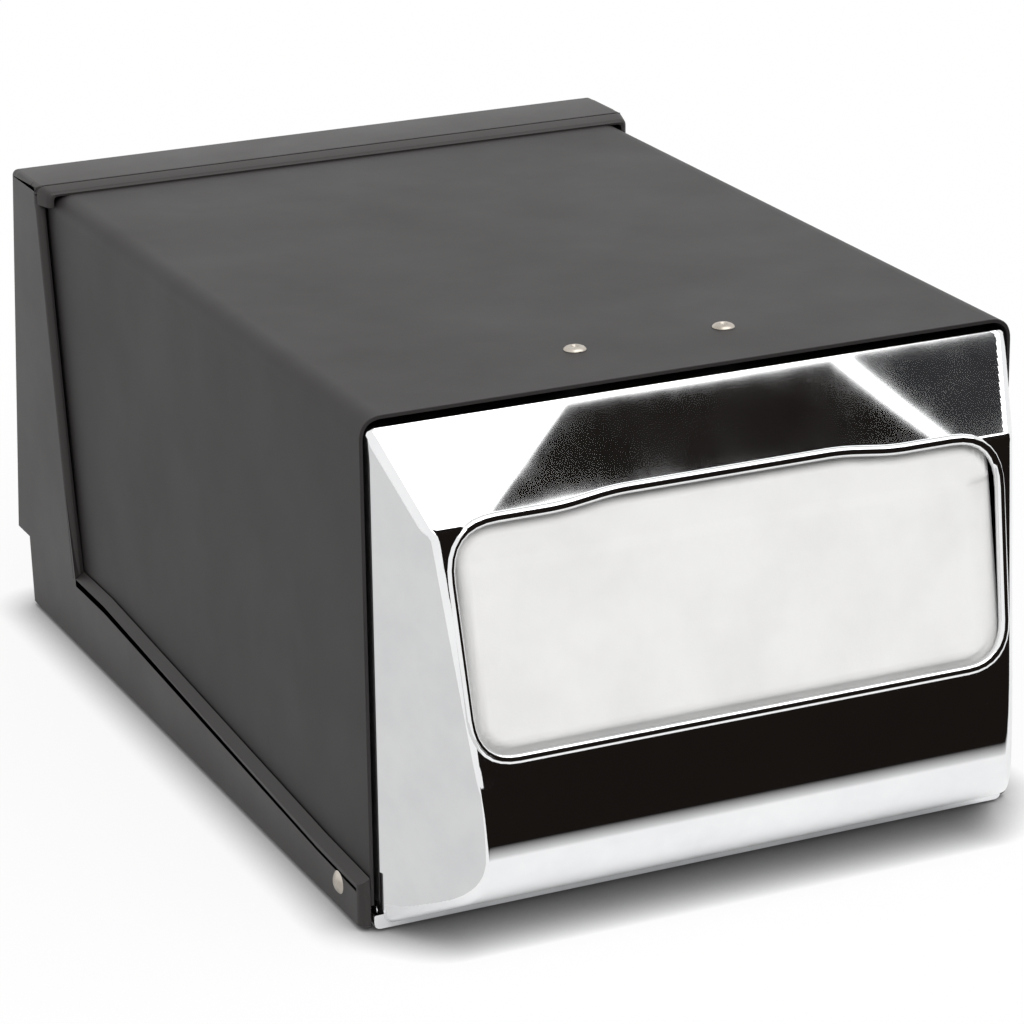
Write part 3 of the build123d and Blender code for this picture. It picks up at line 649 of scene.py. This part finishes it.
def with_close_ends(low, high, places, inside, count):
    """Values from low to high, evenly spread but closer together at both ends."""
    return np.concatenate([[low + place for place in places],
                           np.linspace(low + inside, high - inside, count),
                           [high - place for place in places[::-1]]])


def leaf_heights(leaf, share, next_share):
    """Heights of one folded napkin's section."""
    drop = DROP + abs(noise.noise(Vector((leaf * 1.7, 3.1, 0.4)))) * DROP_WANDER
    sloped = STACK_HIGH + (STACK_TOP - STACK_HIGH) * min(1, (next_share * STACK_LONG) / STACK_SLOPE_RUN)
    top = min(STACK_TOP, sloped) - drop
    low = REST_Z + LIFT + max(0.0, TOE_RISE - TOE_FALL * share)
    return with_close_ends(low, top, FOLD_PLACES, FOLD_INSIDE, FOLD_ROWS)


def napkin_leaves(material, count=54):
    """The pack behind it: folded napkins side by side, each with rounded folds."""
    fold_pinch = [*FOLD_PINCH, *([1.0] * FOLD_ROWS), *FOLD_PINCH[::-1]]
    side_pinch = [*END_PINCH, *([1.0] * END_COLUMNS), *END_PINCH[::-1]]
    columns = len(side_pinch)
    points, faces = [], []
    for leaf in range(count):
        share, next_share = leaf / count, (leaf + 1) / count
        section = list(zip(leaf_heights(leaf, share, next_share), fold_pinch))
        loop = [(z, pinch, -1) for z, pinch in section]
        loop += [(z, pinch, 1) for z, pinch in section[-2:0:-1]]
        side = STACK_HALF - SIDE_GAP - abs(noise.noise(Vector((leaf * 2.3, 0.7, 5.0)))) * SIDE_WANDER
        xs = with_close_ends(-side, side, END_PLACES, END_INSIDE, END_COLUMNS)
        base = len(points)
        for x, squeeze in zip(xs, side_pinch):
            for z, pinch, way in loop:
                middle = stack_profile((share + next_share) / 2, z)
                half = (stack_profile(next_share, z) - stack_profile(share, z)) / 2
                y = middle + way * half * FULLNESS * pinch * squeeze
                points.append((x, min(y, STACK_REAR), z))
        around = len(loop)
        for c in range(columns - 1):
            for k in range(around):
                a = base + c * around + k
                b = base + c * around + (k + 1) % around
                faces.append((a, b, b + around, a + around))
        faces.append([base + k for k in range(around)][::-1])
        faces.append([base + (columns - 1) * around + k for k in range(around)])
    piece = make_piece("napkin_leaves", points, faces, "base", material)
    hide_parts("napkin_stack")
    return piece


# Face plate
def side_path():
    """The face plate seen from the side, as (y, z) points from the top down."""
    knee_y = front_y(KNEE_Z)
    drop = KNEE_Z - FACE_LOW_Z
    deep = (-knee_y + CHIN_LEAN * drop) / (1 + CHIN_LEAN * CHIN_SLOPE)
    corners = [(FACET_START, FACE_TOP_Z), (front_y(CREST_Z), CREST_Z), (knee_y, KNEE_Z),
               (-deep, FACE_LOW_Z + CHIN_SLOPE * deep), (0, FACE_LOW_Z)]
    return rounded(corners, [0, CREST_R, KNEE_R, CHIN_R, 0], steps=12, closed=False)


def corner_cut(radius, height):
    """How far a rounded corner draws in at a height over its end."""
    left = min(radius, max(0.0, radius - height))
    return radius - math.sqrt(radius * radius - left * left)


def row_half(z):
    """Half the face plate's width at a height, with its close upper and wide lower corners."""
    return FACE_HALF - (corner_cut(FACE_LOW_R, z - FACE_LOW_Z) + corner_cut(FACE_TOP_R, FACE_TOP_Z - z))


def face_grid():
    """Points of the face plate's front, row by row from the top down."""
    path = resample(side_path(), FACE_STEP)
    side = np.linspace(SIDE_START, FACE_HALF, SIDE_COLUMNS)
    xs = np.concatenate([-side[::-1], np.linspace(-MIDDLE_HALF, MIDDLE_HALF, MIDDLE_COLUMNS), side])
    halves = np.array([row_half(z) for z in path[:, 1]])
    grid_x = xs[None, :] * halves[:, None] / FACE_HALF
    grid_z = np.repeat(path[:, 1][:, None], len(xs), axis=1)
    front = np.repeat(path[:, 0][:, None], len(xs), axis=1)
    facet = FACET_START - (FACE_HALF - np.abs(grid_x)) / FACET_SLOPE
    blend = np.maximum(RIDGE_SOFT - np.abs(front - facet), 0) / RIDGE_SOFT
    grid_y = np.maximum(front, facet) + blend * blend * RIDGE_SOFT / 4
    return np.stack([grid_x, grid_y, grid_z], axis=2)


def with_flange(grid):
    """The grid with a ring of points behind its edge, for the flange."""
    padded = np.pad(grid, ((1, 1), (1, 1), (0, 0)), mode="edge")
    for edge in (padded[0], padded[-1], padded[:, 0], padded[:, -1]):
        edge[:, 1] = FACE_FLANGE_Y
    return padded


def grid_normals(grid):
    """Outward normals of a grid of points."""
    across = np.gradient(grid, axis=1)
    down = np.gradient(grid, axis=0)
    normal = np.cross(down, across)
    return normal / np.maximum(np.linalg.norm(normal, axis=2, keepdims=True), 1e-9)


def face_skins():
    """Outer and inner skins of the face plate, both open at the mouth."""
    outer = with_flange(face_grid())
    inner = outer - grid_normals(outer) * FACE_WALL
    rows, columns = outer.shape[:2]
    open_here = inside_mouth(outer[..., 0], outer[..., 2]) > -CUT_OUTSIDE
    faces = []
    for r in range(rows - 1):
        for c in range(columns - 1):
            if open_here[r:r + 2, c:c + 2].any():
                continue
            a = r * columns + c
            faces.append((a, a + 1, a + columns + 1, a + columns))
    return [(grid.reshape(-1, 3), faces) for grid in (outer, inner)]


def leaning(flat, proud):
    """A point given on the leaning front and its height over it."""
    z = LEAN_Z + (flat[1] + LEAN * proud) / STRETCH
    y = LEAN_Y + (LEAN * flat[1] - proud) / STRETCH
    return (flat[0], y, z)


def mouth_tube():
    """The rolled rim round the opening."""
    outline = mouth_outline()
    count = len(outline)
    rows = []
    for n, point in enumerate(outline):
        along = (outline[(n + 1) % count] - outline[n - 1]).normalized()
        outward = Vector((along.y, -along.x))
        ring = []
        for k in range(BEAD_SIDES):
            angle = 2 * math.pi * k / BEAD_SIDES
            flat = point + outward * (BEAD_R + BEAD_R * math.cos(angle))
            proud = BEAD_R * math.sin(angle) - BEAD_SINK
            ring.append(leaning(flat, proud))
        rows.append(ring)
    return strip(rows + [rows[0]], closed=True)


def box_outline(left, low, right, top, radii):
    """A rectangle with four corner radii, from its low left corner round."""
    return rounded([(left, low), (right, low), (right, top), (left, top)], radii, steps=4)


def face_sill():
    """Bar along the face plate's lower edge."""
    radii = [SILL_LOW_R, SILL_LOW_R, SILL_TOP_R, SILL_TOP_R]
    outline = box_outline(-COVER_HALF, FACE_LOW_Z, COVER_HALF, SILL_TOP_Z, radii)
    return prism(outline, -FACE_WALL, SILL_REAR_Y, from_front)


def face_tab(x):
    """Tab under the cover at a rivet, with the washer that fills the step."""
    radii = [SQUARE_R, SQUARE_R, TAB_R, TAB_R]
    tab = box_outline(x - TAB_HALF, TAB_FRONT_Y, x + TAB_HALF, TAB_REAR_Y, radii)
    washer_top = COVER_TOP_Z - COVER_SHEET - WASHER_CLEAR
    return [prism(tab, FACE_TOP_Z - FACE_WALL, FACE_TOP_Z - TAB_CLEAR, from_above),
            disc(x, RIVET_Y, WASHER_R, FACE_TOP_Z - WASHER_SINK, washer_top)]


def face_ear(x):
    """Ear round the pivot, inside the cover's skirt."""
    corners = [(EAR_FRONT_Y, PIVOT_Z - EAR_HALF), (PIVOT_Y + EAR_HALF, PIVOT_Z - EAR_HALF),
               (PIVOT_Y + EAR_HALF, PIVOT_Z + EAR_HALF), (EAR_FRONT_Y, PIVOT_Z + EAR_HALF)]
    outline = rounded(corners, [SQUARE_R, EAR_R, EAR_R, SQUARE_R], steps=6)
    return prism(outline, x, x + FACE_WALL - 2 * EAR_CLEAR, from_side)


def face_shell(material):
    """Chromed face plate: bulged shell with its rim, sill, tabs and pivot ears."""
    forms = face_skins() + [mouth_tube(), face_sill()]
    for x in (-RIVET_X, RIVET_X):
        forms += face_tab(x)
    for x in (-FACE_HALF + EAR_CLEAR, FACE_HALF - FACE_WALL + EAR_CLEAR):
        forms.append(face_ear(x))
    return add_form("face_shell", forms, "hood", material, "face_plate")


# Cover and rivets
def hood_path(half, top, radius, low):
    """The folded cover seen from the front, from its left skirt over to its right one."""
    corners = [(-half, low), (-half, top), (half, top), (half, low)]
    return rounded(corners, [0, radius, radius, 0], steps=10, closed=False)


def cover_shell(material):
    """Folded steel cover with an eased front edge."""
    outer = hood_path(COVER_HALF, COVER_TOP_Z, COVER_R, COVER_SKIRT_Z)
    inner = hood_path(COVER_HALF - COVER_SHEET, COVER_TOP_Z - COVER_SHEET, COVER_R - COVER_SHEET,
                      COVER_SKIRT_Z)
    inner_edge = [(p.x * EDGE_WIDER, 0.0, p.y) for p in inner]
    outer_edge = [(p.x * EDGE_NARROWER, 0.0, p.y - EDGE_DROP) for p in outer]
    rows = [inner_edge, outer_edge]
    rows += [[(p.x, y, p.y) for p in outer] for y in EDGE_STATIONS + [COVER_REAR_Y]]
    rows += [[(p.x, y, p.y) for p in inner] for y in [COVER_REAR_Y] + EDGE_STATIONS[::-1]]
    rows.append(inner_edge)
    points, faces = strip(rows)
    columns = len(inner_edge)
    for column in (0, columns - 1):
        faces.append(tuple(columns * r + column for r in range(len(rows) - 1)))
    return add_form("cover_shell", [(points, faces)], "hood", material, "cover", crease=30)


def rivet_head(name, x, material, node):
    """Blind rivet: domed flange with the hollow of its mandrel."""
    rows = []
    for k in range(RIVET_SIDES + 1):
        turn = 2 * math.pi * k / RIVET_SIDES
        rows.append([(x + r * math.cos(turn), RIVET_Y + r * math.sin(turn), COVER_TOP_Z + z)
                     for r, z in RIVET_PROFILE])
    return add_form(name, [strip(rows)], "hood", material, node, crease=40)


# Rear cap
def inset(path, amount):
    """An open (y, z) path moved to its inner side, which lies to its right."""
    made = []
    for n, point in enumerate(path):
        before = path[max(n - 1, 0)]
        after = path[min(n + 1, len(path) - 1)]
        along = (after - before).normalized()
        made.append(point + Vector((along.y, -along.x)) * amount)
    return made


def cap_path():
    """The rear cap seen from the side: up its wing's front edge, over its top and down its rear."""
    front_edge_y = RING_REAR_Y + RING_GAP
    front = [(WING_LOW_Y, SEAM_Z), (WING_TOP_Y, WING_TOP_Z), (front_edge_y, WING_BEND_Z),
             (front_edge_y, BAR_LOW_Z)]
    over = [(front_edge_y, CAP_TOP_Z), (CAP_REAR_TOP_Y, CAP_TOP_Z), (CAP_REAR_LOW_Y, SEAM_Z)]
    radii = [0, CAP_EDGE_R, CAP_EDGE_R, CAP_EDGE_R, CAP_FRONT_R, CAP_EDGE_R, 0]
    return rounded(front + over, radii, steps=6, closed=False)


def at_side(x, path):
    """A (y, z) path as points at one x."""
    return [(x, p.x, p.y) for p in path]


def cap_skin(material):
    """Outside of the rear cap: slanted wings, flat top, leaning rear and close corners."""
    path = cap_path()
    corner_x = CAP_HALF - CAP_CORNER_R
    rings = []
    for k in range(CAP_CORNER_STEPS + 1):
        turn = math.pi / 2 * k / CAP_CORNER_STEPS
        line = inset(path, CAP_CORNER_R * (1 - math.cos(turn)))
        rings.append((corner_x + CAP_CORNER_R * math.sin(turn), line))
    top_start = next(n for n, p in enumerate(path) if p.y > CAP_TOP_FROM_Z)
    front_edge, top = path[:top_start + 1], path[top_start:]
    flat = rings[-1][1]
    forms = []
    for side in (-1, 1):
        forms.append(strip([at_side(side * x, line) for x, line in rings]))
        forms.append((at_side(side * CAP_HALF, flat), [tuple(range(len(flat)))]))
        wing = [[(side * WING_INNER, p.x + WING_DEPTH, p.y) for p in front_edge]]
        wing += [at_side(side * x, front_edge) for x in (WING_INNER, corner_x)]
        forms.append(strip(wing))
    forms.append(strip([at_side(-corner_x, top), at_side(corner_x, top)]))
    near, far = RING_REAR_Y + RING_GAP, BAR_REAR_Y
    bar = [(near, BAR_LOW_Z), (far, BAR_LOW_Z), (far, RING_TOP_Z), (near, RING_TOP_Z)]
    forms.append(prism(bar, -BAR_HALF, BAR_HALF, from_side))
    return add_form("cap_skin", forms, "base", material, crease=32)


def cover_ring(material):
    """Raised ring round the cover's rear end, with a slope that rounds down to the cover."""
    inner = hood_path(COVER_HALF - RING_SINK, COVER_TOP_Z - RING_SINK, COVER_R, RING_LOW_Z)
    outer = hood_path(BODY_HALF, RING_TOP_Z, RING_R, RING_LOW_Z)
    rows = []
    for y, share in RING_SECTION + RING_SECTION[:1]:
        rows.append([(a.x + (b.x - a.x) * share, y, a.y + (b.y - a.y) * share) for a, b in zip(inner, outer)])
    points, faces = strip(rows)
    columns = len(inner)
    count = len(RING_SECTION)
    faces.append(tuple(columns * r for r in range(count)))
    faces.append(tuple(columns * (r + 1) - 1 for r in range(count))[::-1])
    return add_form("cover_ring", [(points, faces)], "hood", material, crease=32)


# Rails
def rail_lip(side):
    """One rail's sloping top, which rises inwards, with its rounded toe."""
    ys, zs = zip(*RAIL_TOP)
    inner = RAIL_INNER
    rows = []
    for y in RAIL_STATIONS:
        z = float(np.interp(y, ys, zs))
        short = max(0.0, RAIL_TOE_R - (y - ys[0]))
        outer = BODY_HALF - RAIL_TOE_R + math.sqrt(RAIL_TOE_R * RAIL_TOE_R - short * short)
        rise = RAIL_RISE * (BODY_HALF - outer) / (BODY_HALF - inner)
        rows.append([(side * inner, y, z - RAIL_DEEP), (side * outer, y, z - RAIL_DEEP),
                     (side * outer, y, z + rise), (side * inner, y, z + RAIL_RISE)])
    points, faces = strip(rows, closed=True)
    last = 4 * (len(rows) - 1)
    faces.append((0, 1, 2, 3))
    faces.append((last + 3, last + 2, last + 1, last))
    return points, faces


def rail_lips(material):
    """The rails' sloping tops."""
    forms = [rail_lip(-1), rail_lip(1)]
    return add_form("rail_lips", forms, "base", material, crease=30)


# Stage
def flat_mesh(name, corners):
    """A stage object of one face."""
    mesh = bpy.data.meshes.new(name)
    mesh.from_pydata(corners, [], [tuple(range(len(corners)))])
    made = bpy.data.objects.new(name, mesh)
    bpy.context.scene.collection.objects.link(made)
    return made


def math_node(nodes, links, operation, value, other):
    """A calculation on a value and either a number or another value."""
    node = nodes.new("ShaderNodeMath")
    node.operation = operation
    links.new(value, node.inputs[0])
    if isinstance(other, float):
        node.inputs[1].default_value = other
    else:
        links.new(other, node.inputs[1])
    return node.outputs[0]


def make_floor():
    """Plain white floor. Most of what the camera sees is an emission darkened by ambient occlusion, a painted
    soft contact shadow close to the object, mixed with the floor's own lit white.
    """
    half = FLOOR_HALF
    floor = flat_mesh("floor", [(-half, -half, 0), (half, -half, 0), (half, half, 0), (-half, half, 0)])
    material, nodes, body, links = shader("floor")
    body.inputs["Base Color"].default_value = (1, 1, 1, 1)
    body.inputs["Roughness"].default_value = 1.0
    body.inputs["Specular IOR Level"].default_value = 0.0
    # Painted shadow: ambient occlusion darkens the emission that the camera sees near the object
    near = nodes.new("ShaderNodeAmbientOcclusion")
    near.inputs["Distance"].default_value = PAINTED_SHADOW_REACH
    glow = nodes.new("ShaderNodeEmission")
    strength = math_node(nodes, links, "POWER", near.outputs["AO"], PAINTED_SHADOW_POWER)
    links.new(strength, glow.inputs["Strength"])
    paths = nodes.new("ShaderNodeLightPath")
    share = math_node(nodes, links, "MULTIPLY", paths.outputs["Is Camera Ray"], PAINTED_FLOOR_SHARE)
    mix = nodes.new("ShaderNodeMixShader")
    links.new(share, mix.inputs["Fac"])
    links.new(body.outputs["BSDF"], mix.inputs[1])
    links.new(glow.outputs["Emission"], mix.inputs[2])
    links.new(mix.outputs["Shader"], nodes["Material Output"].inputs["Surface"])
    floor.data.materials.append(material)


def card(name, corners, colour, fade=None):
    """A card that only reflections see; fade gives the two levels of Y between which it ends."""
    made = flat_mesh(name, corners)
    material = bpy.data.materials.new(name)
    material.use_nodes = True
    nodes, links = material.node_tree.nodes, material.node_tree.links
    nodes.remove(nodes["Principled BSDF"])
    glow = nodes.new("ShaderNodeEmission")
    glow.inputs["Color"].default_value = (*colour, 1)
    shown = glow.outputs[0]
    if fade:
        coords = nodes.new("ShaderNodeTexCoord")
        split = nodes.new("ShaderNodeSeparateXYZ")
        links.new(coords.outputs["Object"], split.inputs[0])
        clear = nodes.new("ShaderNodeBsdfTransparent")
        mix = nodes.new("ShaderNodeMixShader")
        links.new(spread(nodes, links, split.outputs["Y"], 0.0, 1.0, *fade), mix.inputs["Fac"])
        links.new(glow.outputs[0], mix.inputs[1])
        links.new(clear.outputs[0], mix.inputs[2])
        shown = mix.outputs[0]
    links.new(shown, nodes["Material Output"].inputs["Surface"])
    made.data.materials.append(material)
    made.visible_camera = False
    made.visible_diffuse = False
    made.visible_shadow = False
    made.visible_transmission = False


def pixel_ray(u, v):
    """Direction from the camera through a pixel of the photograph."""
    right, up, back = camera_axes()
    middle = IMAGE / 2
    way = -back * FOCAL_PX + right * (u - middle - CENTRE_PX[0]) - up * (v - middle - CENTRE_PX[1])
    return way.normalized()


def mirrored(u, v, point, normal, height):
    """Where the reflection seen at a pixel, off a facet, meets a level above the floor."""
    way = pixel_ray(u, v)
    hit = EYE + way * ((point - EYE).dot(normal) / way.dot(normal))
    out = way - 2 * way.dot(normal) * normal
    return hit + out * ((height - hit.z) / out.z)


def make_lights():
    """Even white world, at full strength only where it is seen, and one large soft lamp."""
    world = bpy.data.worlds.new("world")
    bpy.context.scene.world = world
    world.use_nodes = True
    nodes, links = world.node_tree.nodes, world.node_tree.links
    light = nodes["Background"]
    light.inputs["Color"].default_value = (1, 1, 1, 1)
    paths = nodes.new("ShaderNodeLightPath").outputs
    seen = math_node(nodes, links, "MAXIMUM", paths["Is Camera Ray"], paths["Is Glossy Ray"])
    seen = math_node(nodes, links, "MAXIMUM", seen, paths["Is Transmission Ray"])
    links.new(spread(nodes, links, seen, WORLD_LIGHT, 1.0, 0.0, 1.0), light.inputs["Strength"])
    lamp = bpy.data.lights.new("soft_sun", "SUN")
    lamp.energy = SUN_STRENGTH
    lamp.angle = math.radians(SUN_WIDTH)
    sun = bpy.data.objects.new("soft_sun", lamp)
    sun.rotation_euler = (math.radians(SUN_TILT[0]), math.radians(SUN_TILT[1]), 0)
    bpy.context.scene.collection.objects.link(sun)


def make_cards():
    """Cards that the chromed face mirrors: dark ones above and before it, a pale one at its left."""
    crest = at(0, front_y(CREST_Z), CREST_Z)
    top = at(0, FACET_START, FACE_TOP_Z)
    normal = Vector((0, -(top.z - crest.z), top.y - crest.y)).normalized()
    card("card_ceiling", [mirrored(u, v, top, normal, CEILING_Z) for u, v in MIDDLE_PIXELS], BLACK)
    card("card_right", [mirrored(u, v, top, normal, CEILING_Z) for u, v in RIGHT_PIXELS], DARK_GREY)
    near, far = FRONT_CARD_Y + FRONT, FRONT_CARD_TOP_Y + FRONT
    right, high = CARDS_RIGHT, FRONT_CARD_TOP_Z
    upright = [(FRONT_CARD_X, near, 0), (right, near, 0), (right, far, high), (FRONT_CARD_TOP_X, far, high)]
    card("card_front", upright, BLACK)
    start = FLOOR_CARD_Y + FRONT
    end, low = near - FLOOR_CARD_DEEP, FLOOR_CARD_Z
    mat = [(FLOOR_CARD_X, end, low), (right, end, low), (right, start, low), (FLOOR_CARD_NEAR_X, start, low)]
    card("card_floor", mat, BLACK, (start - FLOOR_CARD_FADE, start))
    beside = [(x, y, LEFT_CARD_Z) for x, y in zip(LEFT_CARD_X, LEFT_CARD_Y)]
    card("card_left", beside, PALE_GREY)


make_camera()
finishes = make_materials()
for part in frame["record"]["subparts"]:
    mesh = frame["nodes"][part["node"]].data
    mesh.materials.clear()
    mesh.materials.append(finishes[part["material_slot"]])
front_leaf(finishes["napkin_paper"])
napkin_leaves(finishes["napkin_paper"])
face_shell(finishes["chrome_plate"])
cover_shell(finishes["cover_paint"])
rivet_head("rivet_head_left", -RIVET_X, finishes["rivet_steel"], "face_rivet_left")
rivet_head("rivet_head_right", RIVET_X, finishes["rivet_steel"], "face_rivet_right")
rail_lips(finishes["black_moulding"])
cap_skin(finishes["black_moulding"])
cover_ring(finishes["black_moulding"])
make_floor()
make_lights()
make_cards()
bpy.context.scene.view_settings.view_transform = "Standard"
